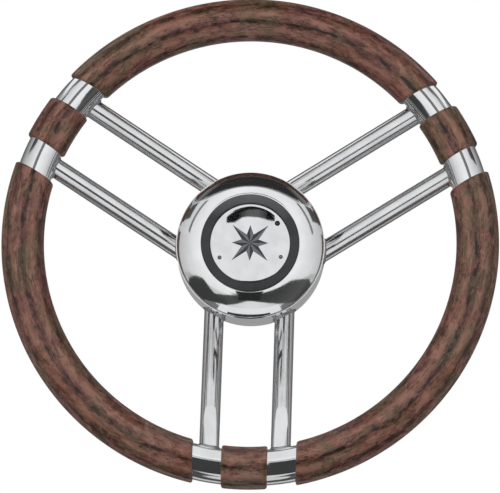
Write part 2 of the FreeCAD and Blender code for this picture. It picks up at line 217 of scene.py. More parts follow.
class Finishes(bpy.types.PropertyGroup):
    """Colours and smoothness of the wheel's materials."""

    steel: FloatVectorProperty(
        name="Steel", description="Colour of the polished steel",
        default=(0.82, 0.83, 0.84), size=3, min=0, max=1, subtype="COLOR")
    steel_roughness: FloatProperty(
        name="Steel roughness", description="Mean roughness of the polished ring and hub",
        default=0.07, min=0, max=1)
    spoke_roughness: FloatProperty(
        name="Spoke roughness", description="Mean roughness of the softer polish of the spokes",
        default=0.14, min=0, max=1)
    burl_dark: FloatVectorProperty(
        name="Burl dark", description="Darkest wood of the grips",
        default=(0.027, 0.012, 0.007), size=3, min=0, max=1, subtype="COLOR")
    burl_red: FloatVectorProperty(
        name="Burl red", description="Red-brown wood of the grips",
        default=(0.148, 0.054, 0.037), size=3, min=0, max=1, subtype="COLOR")
    burl_tan: FloatVectorProperty(
        name="Burl tan", description="Lightest wood of the grips",
        default=(0.262, 0.127, 0.094), size=3, min=0, max=1, subtype="COLOR")
    burl_olive: FloatVectorProperty(
        name="Burl olive", description="Greenish wood in patches of the grips",
        default=(0.100, 0.073, 0.038), size=3, min=0, max=1, subtype="COLOR")
    rubber: FloatVectorProperty(
        name="Rubber", description="Colour of the gasket and the seal",
        default=(0.014, 0.014, 0.015), size=3, min=0, max=1, subtype="COLOR")
    cap: FloatVectorProperty(
        name="Cap", description="Colour of the moulded cap",
        default=(0.014, 0.015, 0.016), size=3, min=0, max=1, subtype="COLOR")
    disc: FloatVectorProperty(
        name="Disc", description="Colour of the cap's disc",
        default=(0.74, 0.75, 0.76), size=3, min=0, max=1, subtype="COLOR")
    enamel_dark: FloatVectorProperty(
        name="Dark enamel", description="Dark half of each point of the wind rose",
        default=(0.012, 0.014, 0.016), size=3, min=0, max=1, subtype="COLOR")
    enamel_grey: FloatVectorProperty(
        name="Grey enamel", description="Lighter half of each point of the wind rose",
        default=(0.105, 0.115, 0.125), size=3, min=0, max=1, subtype="COLOR")
    aluminium: FloatVectorProperty(
        name="Aluminium", description="Colour of the turned boss",
        default=(0.55, 0.56, 0.58), size=3, min=0, max=1, subtype="COLOR")
    screw: FloatVectorProperty(
        name="Screw steel", description="Colour of the screws",
        default=(0.42, 0.42, 0.42), size=3, min=0, max=1, subtype="COLOR")


class StudioSizes(bpy.types.PropertyGroup):
    """Camera, floor and light."""

    camera_distance: FloatProperty(
        name="Camera distance", description="From the camera to the middle of the rim",
        default=3.203, unit="LENGTH", subtype="DISTANCE")
    camera_below: FloatProperty(
        name="Camera below", description="How far the camera looks up at the wheel",
        default=math.radians(10.2), unit="ROTATION", subtype="ANGLE")
    camera_right: FloatProperty(
        name="Camera right",
        description="How far the camera stands to the right of the wheel's axis",
        default=math.radians(1.37), unit="ROTATION", subtype="ANGLE")
    camera_roll: FloatProperty(
        name="Camera roll", description="How far the camera leans to the left",
        default=math.radians(1.46), unit="ROTATION", subtype="ANGLE")
    camera_lens: FloatProperty(
        name="Lens",
        description="Focal length in millimetres on a sensor 36 mm wide", default=328.0)
    aim_drop: FloatProperty(
        name="Aim drop", description="How far under the middle of the rim the camera aims",
        default=0.0029, unit="LENGTH", subtype="DISTANCE")
    floor_height: FloatProperty(
        name="Floor height", description="Height of the floor under the wheel's shaft",
        default=-0.95, unit="LENGTH", subtype="DISTANCE")
    daylight: FloatProperty(
        name="Room light",
        description="Strength of the even light from all round", default=0.55, min=0)
    key_power: FloatProperty(
        name="Key power",
        description="Power of the large soft lamp at the front left", default=26.0,
        min=0, subtype="POWER")
    fill_power: FloatProperty(
        name="Fill power",
        description="Power of the large soft lamp at the front right", default=12.0,
        min=0, subtype="POWER")


def add_node(tree, kind, inputs=None, **settings):
    """Add a shader node. An input is a number, a colour or another node's socket."""
    node = tree.nodes.new(kind)
    for key, value in settings.items():
        setattr(node, key, value)
    for key, value in (inputs or {}).items():
        if isinstance(value, bpy.types.NodeSocket):
            tree.links.new(value, node.inputs[key])
        else:
            node.inputs[key].default_value = value
    return node


def calculate(tree, operation, first, second=0.0, third=0.0):
    """The output of a Math node."""
    return add_node(tree, "ShaderNodeMath", {0: first, 1: second, 2: third},
                    operation=operation).outputs[0]


def colour_mix(tree, factor, first, second, blend="MIX"):
    """The output of a colour Mix node."""
    node = add_node(tree, "ShaderNodeMix", data_type="RGBA", blend_type=blend)
    for place, value in ((0, factor), (6, first), (7, second)):
        if isinstance(value, bpy.types.NodeSocket):
            tree.links.new(value, node.inputs[place])
        elif place:
            node.inputs[place].default_value = (*value[:3], 1)
        else:
            node.inputs[place].default_value = value
    return node.outputs[2]


def ramp(tree, factor, *stops):
    """A colour ramp through (place, colour or grey) stops."""
    node = add_node(tree, "ShaderNodeValToRGB", {0: factor})
    elements = node.color_ramp.elements
    while len(elements) < len(stops):
        elements.new(0.5)
    for element, (place, colour) in zip(elements, stops):
        element.position = place
        element.color = (*colour[:3], 1) if hasattr(colour, "__len__") else (colour,) * 3 + (1,)
    return node.outputs[0]


def noise(tree, vector, scale, detail=2.0, roughness=0.5, distortion=0.0):
    """A noise texture's value."""
    return add_node(tree, "ShaderNodeTexNoise",
                    {"Vector": vector, "Scale": scale, "Detail": detail, "Roughness": roughness,
                     "Distortion": distortion}).outputs["Fac"]


def stretched(tree, vector, scale):
    """A vector with each of its axes scaled."""
    return add_node(tree, "ShaderNodeVectorMath", {0: vector, 1: scale},
                    operation="MULTIPLY").outputs[0]


def between(tree, value, low, high, to_low=0.0, to_high=1.0):
    """A value moved from one range to another, and kept inside it."""
    return add_node(tree, "ShaderNodeMapRange",
                    {0: value, 1: low, 2: high, 3: to_low, 4: to_high}).outputs[0]


def bump(tree, height, distance, strength=1.0, under=None):
    """A bump's normal. The distance is in metres for a height from 0 to 1."""
    inputs = {"Height": height, "Distance": distance, "Strength": strength}
    if under is not None:
        inputs["Normal"] = under
    return add_node(tree, "ShaderNodeBump", inputs).outputs[0]


def new_material(name):
    """An empty material with its Principled shader: (material, tree, shader)."""
    material = bpy.data.materials.new(name)
    material.use_nodes = True
    tree = material.node_tree
    tree.nodes.clear()
    output = add_node(tree, "ShaderNodeOutputMaterial")
    shader = add_node(tree, "ShaderNodeBsdfPrincipled")
    tree.links.new(shader.outputs[0], output.inputs[0])
    return material, tree, shader


def object_place(tree):
    """A point's place in the wheel's own frame, in metres."""
    return add_node(tree, "ShaderNodeTexCoord").outputs["Object"]


def named_place(tree, name):
    """A point's place as kept in a mesh attribute, in metres."""
    return add_node(tree, "ShaderNodeAttribute", attribute_name=name).outputs["Vector"]


def turned_place(tree):
    """A point's radius, reach and a little of its angle, so that marks run round the shaft."""
    parts = add_node(tree, "ShaderNodeSeparateXYZ", {0: object_place(tree)}).outputs
    squares = [calculate(tree, "MULTIPLY", parts[axis], parts[axis]) for axis in (0, 2)]
    radius = calculate(tree, "SQRT", calculate(tree, "ADD", *squares))
    angle = calculate(tree, "ARCTAN2", parts[2], parts[0])
    wander = calculate(tree, "MULTIPLY", calculate(tree, "SINE", angle), 0.0006)
    return add_node(tree, "ShaderNodeCombineXYZ", {0: radius, 1: parts[1], 2: wander}).outputs[0]


def polished_steel(name, place, marks, tone, roughness):
    """Polished steel with fine marks along a direction, small smudges and a soft unevenness.

    The place is a function that gives the coordinates, and marks scales each of their axes.
    """
    material, tree, shader = new_material(name)
    vector = place(tree)
    lines = noise(tree, stretched(tree, vector, marks), 1.0, detail=3.0, roughness=0.65)
    smudges = noise(tree, object_place(tree), 55.0, detail=4.0, roughness=0.6, distortion=0.4)
    waves = noise(tree, object_place(tree), 38.0, detail=1.0)
    tint = [value * 0.90 for value in tone]
    shader.inputs["Metallic"].default_value = 1.0
    tree.links.new(colour_mix(tree, between(tree, smudges, 0.35, 0.7), tone, tint),
                   shader.inputs["Base Color"])
    rough = calculate(tree, "ADD", between(tree, smudges, 0.4, 0.75, 0.0, 0.05),
                      between(tree, lines, 0.3, 0.8, roughness - 0.025, roughness + 0.03))
    tree.links.new(rough, shader.inputs["Roughness"])
    fine = bump(tree, lines, 0.000004)
    tree.links.new(bump(tree, waves, 0.00012, 0.35, fine), shader.inputs["Normal"])
    return material


def weld_steel(finishes):
    """Brushed weld beads with a trace of heat colour."""
    material, tree, shader = new_material("weld_bead_steel")
    place = object_place(tree)
    patches = noise(tree, place, 260.0, detail=3.0)
    grit = noise(tree, place, 2400.0, detail=2.0)
    warm = (0.43, 0.41, 0.37)
    cool = (0.30, 0.35, 0.38)
    heat = colour_mix(tree, between(tree, patches, 0.38, 0.64), warm, cool)
    shader.inputs["Metallic"].default_value = 1.0
    tree.links.new(colour_mix(tree, between(tree, grit, 0.3, 0.7, 0.0, 0.35), heat,
                              finishes.steel), shader.inputs["Base Color"])
    tree.links.new(between(tree, grit, 0.3, 0.7, 0.16, 0.30), shader.inputs["Roughness"])
    tree.links.new(bump(tree, grit, 0.00003), shader.inputs["Normal"])
    return material


# Lines that follow the rim: angle round the grip (0 outwards, a quarter turn in front), width,
# strength between its knots and at them, scale of the knots, and colour. The pale lines are painted
# highlights, soft bands of light along the grip. The dark lines are knotty grain and painted
# reflections of dark surroundings. At the top of the wheel they lie further in by the drift, and at
# the bottom further out.
KNOT_AND_PAINTED_REFLECTION = (0.014, 0.006, 0.004)
PLUM = (0.140, 0.050, 0.052)
PAINTED_HIGHLIGHT = (0.300, 0.150, 0.108)
LINE_DRIFT = 0.18
VEINS_AND_PAINTED_LIGHT = (
    (1.22, 0.22, 0.15, 0.60, 120.0, PAINTED_HIGHLIGHT),
    (2.06, 0.24, 0.20, 0.65, 135.0, PAINTED_HIGHLIGHT),
    (1.64, 0.15, 0.45, 1.00, 210.0, KNOT_AND_PAINTED_REFLECTION),
    (0.84, 0.22, 0.32, 0.80, 170.0, KNOT_AND_PAINTED_REFLECTION),
    (2.54, 0.20, 0.26, 0.75, 160.0, KNOT_AND_PAINTED_REFLECTION),
)


def burl(finishes):
    """Mottled red-brown burl under clear lacquer, with lines that follow the rim: pale painted
    highlights, and dark knotty veins that also paint reflections.
    """
    material, tree, shader = new_material("lacquered_burl")
    place = named_place(tree, GRAIN_PLACE)
    parts = add_node(tree, "ShaderNodeSeparateXYZ", {0: place}).outputs
    along = parts[0]
    around = calculate(tree, "ARCTAN2", parts[2], parts[1])

    clouds = noise(tree, stretched(tree, place, (0.6, 1.0, 1.0)), 105.0, 5.0, 0.62, 1.3)
    streaks = noise(tree, stretched(tree, place, (0.13, 1.0, 1.0)), 430.0, 4.0, 0.66, 0.7)
    flecks = noise(tree, stretched(tree, place, (0.45, 1.0, 1.0)), 520.0, 3.0, 0.7, 1.0)
    patches = noise(tree, stretched(tree, place, (0.8, 1.0, 1.0)), 44.0, 2.0, 0.5, 0.8)

    wood = ramp(tree, clouds, (0.37, finishes.burl_dark), (0.45, finishes.burl_red),
                (0.53, finishes.burl_red), (0.62, finishes.burl_tan))
    wood = colour_mix(tree, between(tree, patches, 0.50, 0.58, 0.0, 0.85), wood,
                      finishes.burl_olive)
    wood = colour_mix(tree, between(tree, patches, 0.45, 0.38, 0.0, 0.6), wood, PLUM)
    wood = colour_mix(tree, between(tree, streaks, 0.52, 0.64, 0.0, 0.7), wood,
                      finishes.burl_tan)
    wood = colour_mix(tree, between(tree, streaks, 0.47, 0.36, 0.0, 0.8), wood,
                      finishes.burl_dark)
    wood = colour_mix(tree, between(tree, flecks, 0.53, 0.64, 0.0, 0.85), wood,
                      finishes.burl_dark)
    wood = colour_mix(tree, between(tree, flecks, 0.45, 0.36, 0.0, 0.55), wood,
                      finishes.burl_tan)

    sway = noise(tree, stretched(tree, place, (1.0, 0.0, 0.0)), 34.0, 2.0)
    wobble = between(tree, sway, 0.3, 0.7, -0.08, 0.08)
    height = calculate(tree, "SINE", calculate(tree, "DIVIDE", along, RIM_R))
    wobble = calculate(tree, "ADD", wobble, calculate(tree, "MULTIPLY", height, LINE_DRIFT))
    # Pale lines paint highlights and dark lines paint reflections over knotty grain, at set angles
    # round the grip.
    for middle, width, steady, knotted, scale, colour in VEINS_AND_PAINTED_LIGHT:
        off = calculate(tree, "SUBTRACT", calculate(tree, "SUBTRACT", around, middle), wobble)
        square = calculate(tree, "POWER", off, 2.0)
        line = calculate(tree, "EXPONENT", calculate(tree, "DIVIDE", square, -width ** 2))
        knots = noise(tree, stretched(tree, place, (0.5, 1.0, 1.0)), scale, 2.0)
        strength = between(tree, knots, 0.50, 0.60, steady, knotted)
        wood = colour_mix(tree, calculate(tree, "MULTIPLY", line, strength), wood, colour)
    tree.links.new(wood, shader.inputs["Base Color"])

    tree.links.new(between(tree, streaks, 0.3, 0.7, 0.34, 0.48), shader.inputs["Roughness"])
    shader.inputs["Specular IOR Level"].default_value = 0.15
    shader.inputs["Coat Weight"].default_value = 0.4
    shader.inputs["Coat Roughness"].default_value = 0.09
    lacquer = noise(tree, stretched(tree, place, (0.5, 1.0, 1.0)), 150.0, 2.0)
    tree.links.new(bump(tree, lacquer, 0.00010, 0.5), shader.inputs["Normal"])
    tree.links.new(bump(tree, lacquer, 0.00008, 0.5), shader.inputs["Coat Normal"])
    return material


def rubber(finishes):
    """Black rubber with a fine grain and dusty high spots."""
    material, tree, shader = new_material("soft_rubber")
    grain = noise(tree, object_place(tree), 3200.0, detail=3.0)
    dust = noise(tree, object_place(tree), 240.0, detail=3.0)
    pale = [value * 1.9 for value in finishes.rubber]
    tree.links.new(colour_mix(tree, between(tree, dust, 0.4, 0.7), finishes.rubber, pale),
                   shader.inputs["Base Color"])
    tree.links.new(between(tree, grain, 0.3, 0.7, 0.52, 0.68), shader.inputs["Roughness"])
    tree.links.new(bump(tree, grain, 0.00003), shader.inputs["Normal"])
    return material


def cap_plastic(finishes):
    """Dark grey moulded plastic with a fine grain, and a painted sheen that makes its upper side
    lighter.
    """
    material, tree, shader = new_material("moulded_plastic")
    grain = noise(tree, object_place(tree), 2600.0, detail=3.0, roughness=0.6)
    flow = noise(tree, object_place(tree), 85.0, detail=2.0)
    pale = [value * 1.5 for value in finishes.cap]
    # Painted sheen: the cap turns lighter towards its top, standing in for light from above
    # catching its rim.
    painted_top_sheen = [value * 6.0 for value in finishes.cap]
    height = add_node(tree, "ShaderNodeSeparateXYZ", {0: object_place(tree)}).outputs[2]
    height = calculate(tree, "ADD", height, between(tree, flow, 0.3, 0.7, -0.002, 0.002))
    grey = colour_mix(tree, between(tree, flow, 0.35, 0.65), finishes.cap, pale)
    tree.links.new(colour_mix(tree, between(tree, height, 0.016, 0.036), grey, painted_top_sheen),
                   shader.inputs["Base Color"])
    tree.links.new(between(tree, grain, 0.3, 0.7, 0.30, 0.42), shader.inputs["Roughness"])
    shader.inputs["Specular IOR Level"].default_value = 0.5
    tree.links.new(bump(tree, grain, 0.000018), shader.inputs["Normal"])
    return material


def disc_metal(finishes):
    """Silvery lacquered disc with a fine spun grain."""
    material, tree, shader = new_material("spun_disc")
    spun = noise(tree, stretched(tree, turned_place(tree), (5200.0, 5200.0, 900.0)), 1.0, 2.0)
    cloud = noise(tree, object_place(tree), 120.0, detail=3.0)
    grey = [value * 0.90 for value in finishes.disc]
    shader.inputs["Metallic"].default_value = 1.0
    tree.links.new(colour_mix(tree, between(tree, cloud, 0.35, 0.65), finishes.disc, grey),
                   shader.inputs["Base Color"])
    tree.links.new(between(tree, spun, 0.3, 0.7, 0.015, 0.045), shader.inputs["Roughness"])
    tree.links.new(bump(tree, spun, 0.0000008), shader.inputs["Normal"])
    return material


def enamel(name, colour):
    """Thin enamel with a faint orange-peel surface and small flecks."""
    material, tree, shader = new_material(name)
    peel = noise(tree, object_place(tree), 1500.0, detail=2.0)
    pale = [value * 1.6 for value in colour]
    tree.links.new(colour_mix(tree, between(tree, peel, 0.45, 0.75), colour, pale),
                   shader.inputs["Base Color"])
    tree.links.new(between(tree, peel, 0.3, 0.7, 0.16, 0.26), shader.inputs["Roughness"])
    tree.links.new(bump(tree, peel, 0.00001), shader.inputs["Normal"])
    return material


def turned_metal(name, colour, pitch, low, high):
    """Turned metal: fine rings from the tool, with a roughness between low and high."""
    material, tree, shader = new_material(name)
    rings = noise(tree, stretched(tree, turned_place(tree), (pitch, pitch, pitch * 0.2)), 1.0, 3.0,
                  0.6)
    stain = noise(tree, object_place(tree), 110.0, detail=3.0)
    dull = [value * 0.82 for value in colour]
    shader.inputs["Metallic"].default_value = 1.0
    tree.links.new(colour_mix(tree, between(tree, stain, 0.35, 0.7), colour, dull),
                   shader.inputs["Base Color"])
    tree.links.new(between(tree, rings, 0.3, 0.7, low, high), shader.inputs["Roughness"])
    tree.links.new(bump(tree, rings, 0.00002), shader.inputs["Normal"])
    return material


def make_materials(context):
    """Every finish of the wheel, by the name of its material."""
    finishes = context.scene.wheel_finishes
    steel = finishes.steel
    polished_steel("ring_steel", object_place, (700.0, 700.0, 700.0), steel,
                   finishes.steel_roughness)
    polished_steel("spoke_steel", lambda tree: named_place(tree, TUBE_PLACE),
                   (150.0, 2600.0, 2600.0), steel, finishes.spoke_roughness)
    polished_steel("hub_steel", turned_place, (2600.0, 2600.0, 400.0), steel,
                   finishes.steel_roughness)
    weld_steel(finishes)
    burl(finishes)
    rubber(finishes)
    cap_plastic(finishes)
    disc_metal(finishes)
    enamel("enamel_dark", finishes.enamel_dark)
    enamel("enamel_grey", finishes.enamel_grey)
    turned_metal("turned_aluminium", finishes.aluminium, 3000.0, 0.24, 0.36)
    turned_metal("bright_screw", finishes.screw, 5200.0, 0.26, 0.40)


def finish_node(node, material):
    """Give a carried-over node its finish."""
    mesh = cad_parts[node].data
    mesh.materials.clear()
    mesh.materials.append(bpy.data.materials[material])


def grid_faces(rows, columns, close_rows=False, close_columns=False):
    """Quads over a grid of points that is kept row by row."""
    faces = []
    for row in range(rows if close_rows else rows - 1):
        below = row * columns
        above = (row + 1) % rows * columns
        for column in range(columns if close_columns else columns - 1):
            beside = (column + 1) % columns
            faces.append((below + column, below + beside, above + beside, above + column))
    return faces


def add_piece(name, points, faces, materials, nodes=(), places=None, face_materials=None):
    """A smooth piece of the wheel that rides on its body and may stand for some nodes.

    Places are a name and an array of points, kept as an attribute for the material.
    """
    mesh = bpy.data.meshes.new(name)
    mesh.from_pydata([tuple(point) for point in points], [], faces)
    for material in materials:
        mesh.materials.append(bpy.data.materials[material])
    if face_materials is not None:
        mesh.polygons.foreach_set("material_index", face_materials)
    if places is not None:
        attribute = mesh.attributes.new(places[0], "FLOAT_VECTOR", "POINT")
        attribute.data.foreach_set("vector", np.asarray(places[1], np.float32).ravel())
    shape = bmesh.new()
    shape.from_mesh(mesh)
    bmesh.ops.remove_doubles(shape, verts=shape.verts, dist=WELD_DISTANCE)
    bmesh.ops.recalc_face_normals(shape, faces=shape.faces)
    shape.to_mesh(mesh)
    shape.free()
    mesh.shade_smooth()
    mesh.set_sharp_from_angle(angle=SHARP_ANGLE)
    piece = bpy.data.objects.new(name, mesh)
    bpy.context.scene.collection.objects.link(piece)
    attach(piece, BODY)
    if nodes:
        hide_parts(*nodes)
    return piece


def arc(centre, radius, start, end, steps):
    """Points of an arc from one angle to another, in degrees."""
    angles = np.radians(np.linspace(start, end, steps))
    return [(centre[0] + radius * math.cos(a), centre[1] + radius * math.sin(a)) for a in angles]


def turned_grid(profile, segments):
    """Points of a profile of (radius, reach), turned about the shaft."""
    turns = np.linspace(0, 2 * math.pi, segments, endpoint=False)
    radii = np.array([point[0] for point in profile])
    reaches = np.array([point[1] for point in profile])
    x = np.outer(np.cos(turns), radii)
    z = np.outer(np.sin(turns), radii)
    y = np.broadcast_to(-reaches, x.shape)
    return np.stack([x, y, z], axis=-1).reshape(-1, 3)


def pair_frame(angle):
    """Unit vectors along a spoke pair and across it, in the plane of the wheel."""
    turn = math.radians(angle)
    return (np.array([math.cos(turn), 0, math.sin(turn)]),
            np.array([-math.sin(turn), 0, math.cos(turn)]))


def grip_stations(rim):
    """The closed outline of a grip's wall along its length.

    Each station is (end, depth, radius, share): the end it is measured from, its depth behind that
    end's plane, its radius about the tube's centre line, and its share of the way between the ends.
    """
    rounding = rim.grip_end_round
    corner = [(rounding - rounding * math.cos(math.radians(a)),
               rim.grip_radius - rounding + rounding * math.sin(math.radians(a)))
              for a in np.linspace(0, 90, GRIP_CORNER_STEPS)]
    outline = [(0, 0.0, rim.grip_bore, 0.0)]
    outline += [(0, depth, radius, 0.0) for depth, radius in corner]
    outline += [(0, rounding, rim.grip_radius, share)
                for share in np.linspace(0, 1, GRIP_LENGTH_STEPS)[1:-1]]
    outline += [(1, depth, radius, 1.0) for depth, radius in reversed(corner)]
    outline += [(1, 0.0, rim.grip_bore, 1.0)]
    outline += [(0, 0.0, rim.grip_bore, share)
                for share in np.linspace(1, 0, GRIP_BORE_STEPS)[1:-1]]
    return outline


def add_grip(node, first, last, rim):
    """A moulded sleeve on the ring between two planes that are parallel to spoke pairs.

    First and last are (angle, offset, inward): the pair's direction, how far the end's plane lies
    beside its centre line, and the sign of the offset's change on the way into the grip.
    """
    sections = np.linspace(0, 2 * math.pi, GRIP_SECTION_STEPS, endpoint=False)
    outline = grip_stations(rim)
    ends, depths, radii, shares = np.array(outline).T
    outward = RIM_R + np.outer(np.cos(sections), radii)
    forward = np.outer(np.sin(sections), radii)

    def end_angle(end, depth):
        angle, offset, inward = end
        return math.radians(angle) + np.arcsin((offset + inward * depth) / outward)

    from_first = end_angle(first, np.where(ends == 0, depths, 0.0))
    from_last = end_angle(last, np.where(ends == 1, depths, rim.grip_end_round))
    on_bore = radii == rim.grip_bore
    from_last = np.where(on_bore, end_angle(last, 0.0), from_last)
    turns = np.where(ends == 0, from_first + shares * (from_last - from_first), from_last)
    points = np.stack([outward * np.cos(turns), -RIM_REACH - forward, outward * np.sin(turns)], -1)
    grain = np.stack([RIM_R * turns, outward - RIM_R, forward], -1)
    return add_piece(node + "_sleeve", points.reshape(-1, 3),
                     grid_faces(len(sections), len(outline), True, True),
                     ["lacquered_burl"], [node], (GRAIN_PLACE, grain.reshape(-1, 3)))


def each_spoke():
    """Name, direction and side of every spoke."""
    for pair, (angle, sides) in SPOKE_PAIRS.items():
        for place, side in sides.items():
            yield "spoke_" + pair + "_" + place, angle, side


def spoke_axis(angle, side, spokes):
    """A spoke's axis: its point at the hub's wall, its direction, and two directions across it."""
    outward, across = pair_frame(angle)
    shift = across * side * HALF_SPACING
    hub = outward * math.sqrt(CUP_HIGH.x ** 2 - HALF_SPACING ** 2) + shift
    rim = outward * math.sqrt(RIM_R ** 2 - HALF_SPACING ** 2) + shift
    hub[1] = -spokes.hub_reach
    rim[1] = -RIM_REACH
    along = (rim - hub) / np.linalg.norm(rim - hub)
    front = np.cross(along, across)
    return hub, rim, along, across, front


def above_hub(points):
    """How far points lie outside the hub's wall."""
    return np.hypot(points[..., 0], points[..., 2]) - CUP_HIGH.x


def above_ring(points):
    """How far points lie outside the ring's tube."""
    outward = np.hypot(points[..., 0], points[..., 2]) - RIM_R
    return np.hypot(outward, points[..., 1] + RIM_REACH) - RING_TUBE_R


def meeting(start, along, low, high, above):
    """The distances along lines at which they cross a wall, by halving the interval."""
    low = np.full(len(start), low)
    high = np.full(len(start), high)
    rising = above(start + along * high[:, None]) > 0
    for _ in range(HALVINGS):
        middle = (low + high) / 2
        outside = above(start + along * middle[:, None]) > 0
        move_high = outside == rising
        high = np.where(move_high, middle, high)
        low = np.where(move_high, low, middle)
    return (low + high) / 2


def spoke_ends(start, along, length, spokes):
    """Where lines on a spoke's surface meet the hub's wall and the ring."""
    margin = 2 * spokes.radius
    at_hub = meeting(start, along, -margin, 3 * margin, above_hub)
    at_rim = meeting(start, along, length - 3 * margin, length, above_ring)
    return at_hub, at_rim


def add_spoke(node, angle, side, spokes):
    """A straight tube, coped to the hub's wall and to the ring."""
    hub, rim, along, across, front = spoke_axis(angle, side, spokes)
    length = np.linalg.norm(rim - hub)
    turns = np.linspace(0, 2 * math.pi, SPOKE_SECTION_STEPS, endpoint=False)
    walls = []
    for radius in (spokes.radius, spokes.radius - spokes.wall):
        rays = np.outer(np.cos(turns), across) + np.outer(np.sin(turns), front)
        start = hub + rays * radius
        at_hub, at_rim = spoke_ends(start, along, length, spokes)
        shares = np.linspace(0, 1, SPOKE_LENGTH_STEPS)
        if walls:
            shares = shares[::-1]
        distances = at_hub[:, None] + np.outer(at_rim - at_hub, shares)
        points = start[:, None, :] + distances[..., None] * along
        place = np.stack([distances, np.repeat(np.cos(turns)[:, None] * radius, len(shares), 1),
                          np.repeat(np.sin(turns)[:, None] * radius, len(shares), 1)], -1)
        walls.append((points, place))
    points = np.concatenate([walls[0][0], walls[1][0]], axis=1)
    places = np.concatenate([walls[0][1], walls[1][1]], axis=1)
    return add_piece(node + "_tube", points.reshape(-1, 3),
                     grid_faces(*points.shape[:2], True, True), ["spoke_steel"],
                     [node], (TUBE_PLACE, places.reshape(-1, 3)))


def wall_normals(points, above):
    """Unit normals of a wall at points on it, from small steps each way."""
    step = 1e-6
    slopes = [above(points + np.eye(3)[axis] * step) - above(points - np.eye(3)[axis] * step)
              for axis in range(3)]
    normals = np.stack(slopes, -1)
    return normals / np.linalg.norm(normals, axis=-1, keepdims=True)


def weld_rings(angle, side, spokes):
    """Points of the two rippled beads of one spoke, each as a closed grid."""
    hub, rim, along, across, front = spoke_axis(angle, side, spokes)
    length = np.linalg.norm(rim - hub)
    turns = np.linspace(0, 2 * math.pi, WELD_SECTION_STEPS, endpoint=False)
    rays = np.outer(np.cos(turns), across) + np.outer(np.sin(turns), front)
    start = hub + rays * spokes.radius
    at_hub, at_rim = spoke_ends(start, along, length, spokes)
    ripples = round(2 * math.pi * spokes.radius / spokes.weld_pitch)
    rings = []
    for distance, above, away in ((at_hub, above_hub, along), (at_rim, above_ring, -along)):
        root = start + distance[:, None] * along
        normals = wall_normals(root, above)
        beside = rays - normals * np.sum(rays * normals, -1, keepdims=True)
        beside /= np.linalg.norm(beside, axis=-1, keepdims=True)
        on_spoke = np.broadcast_to(away, root.shape)
        rows = [root - (beside + on_spoke) * spokes.weld_leg * 0.15]
        for share in np.linspace(0, 1, WELD_ROWS):
            hump = math.sin(math.pi * share)
            crescent = np.sin(turns * ripples + 1.6 * hump)
            leg = spokes.weld_leg * (1 - spokes.weld_ripple * (1 + crescent) * hump)
            swell = 0.10 * hump
            rows.append(root + beside * (leg * (share + swell))[:, None]
                        + on_spoke * (leg * (1 - share + swell))[:, None])
        rings.append(np.stack(rows, axis=1))
    return rings


def add_welds(node, which, spokes):
    """All the beads at the hub, or all those at the rim, as one piece."""
    points = []
    faces = []
    for _, angle, side in each_spoke():
        ring = weld_rings(angle, side, spokes)[which]
        first = len(points)
        points.extend(ring.reshape(-1, 3))
        faces.extend(tuple(first + corner for corner in face)
                     for face in grid_faces(*ring.shape[:2], True, True))
    return add_piece(node + "_rippled", points, faces, ["weld_bead_steel"],
                     [node])


def crown_circle(hub):
    """Centre and radius of the arc from the dome's edge up to its land."""
    low = (DOME_HIGH.x, -GASKET_LOW.y + hub.dome_edge_height)
    high = (hub.land_radius, -DOME_LOW.y)
    run = low[0] - high[0]
    rise = high[1] - low[1]
    chord = math.hypot(run, rise)
    radius = chord ** 2 / (8 * hub.dome_bulge) + hub.dome_bulge / 2
    back_off = radius - hub.dome_bulge
    return ((low[0] + high[0]) / 2 - back_off * rise / chord,
            (low[1] + high[1]) / 2 - back_off * run / chord), radius


def crown_arc(centre, radius, from_radius, to_radius, steps):
    """Points of the crown from one radius about the shaft to another."""
    start = math.degrees(math.acos((from_radius - centre[0]) / radius))
    end = math.degrees(math.acos((to_radius - centre[0]) / radius))
    return arc(centre, radius, start, end, steps)


def dome_profile(hub):
    """The dome's section: land, crown, rounded shoulder, edge and skirt."""
    centre, radius = crown_circle(hub)
    front = -DOME_LOW.y
    seat = -GASKET_LOW.y
    edge = DOME_HIGH.x
    shoulder = hub.dome_shoulder
    middle_r = edge - shoulder
    middle_reach = centre[1] + math.sqrt((radius - shoulder) ** 2 - (middle_r - centre[0]) ** 2)
    tilt = math.degrees(math.atan2(middle_reach - centre[1], middle_r - centre[0]))
    touch_r = middle_r + shoulder * math.cos(math.radians(tilt))
    skirt = CUP_HIGH.x - hub.cup_wall - hub.dome_skirt_gap
    inner_skirt = skirt - hub.dome_wall
    inner_radius = radius - hub.dome_wall
    back = front - hub.dome_wall
    inner_land = centre[0] + math.sqrt(inner_radius ** 2 - (back - centre[1]) ** 2)
    profile = [(hub.opening_radius, back), (hub.opening_radius, front - 0.0002),
               (hub.opening_radius + 0.0002, front)]
    profile += [(radius_on_land, front)
                for radius_on_land in np.linspace(hub.opening_radius, hub.land_radius, 8)[1:-1]]
    profile += crown_arc(centre, radius, hub.land_radius, touch_r, 40)
    profile += arc((middle_r, middle_reach), shoulder, tilt, 0, 14)[1:]
    profile += [(edge, seat), (skirt, seat), (skirt, -DOME_HIGH.y), (inner_skirt, -DOME_HIGH.y)]
    profile += crown_arc(centre, inner_radius, inner_skirt, inner_land, 16)
    return profile


def disc_front(radius, hub):
    """Reach of the disc's crowned face at a radius."""
    edge_r = DISC_HIGH.x
    sphere = (edge_r ** 2 + hub.disc_crown ** 2) / (2 * hub.disc_crown)
    return -DISC_LOW.y - sphere + math.sqrt(sphere ** 2 - radius ** 2)


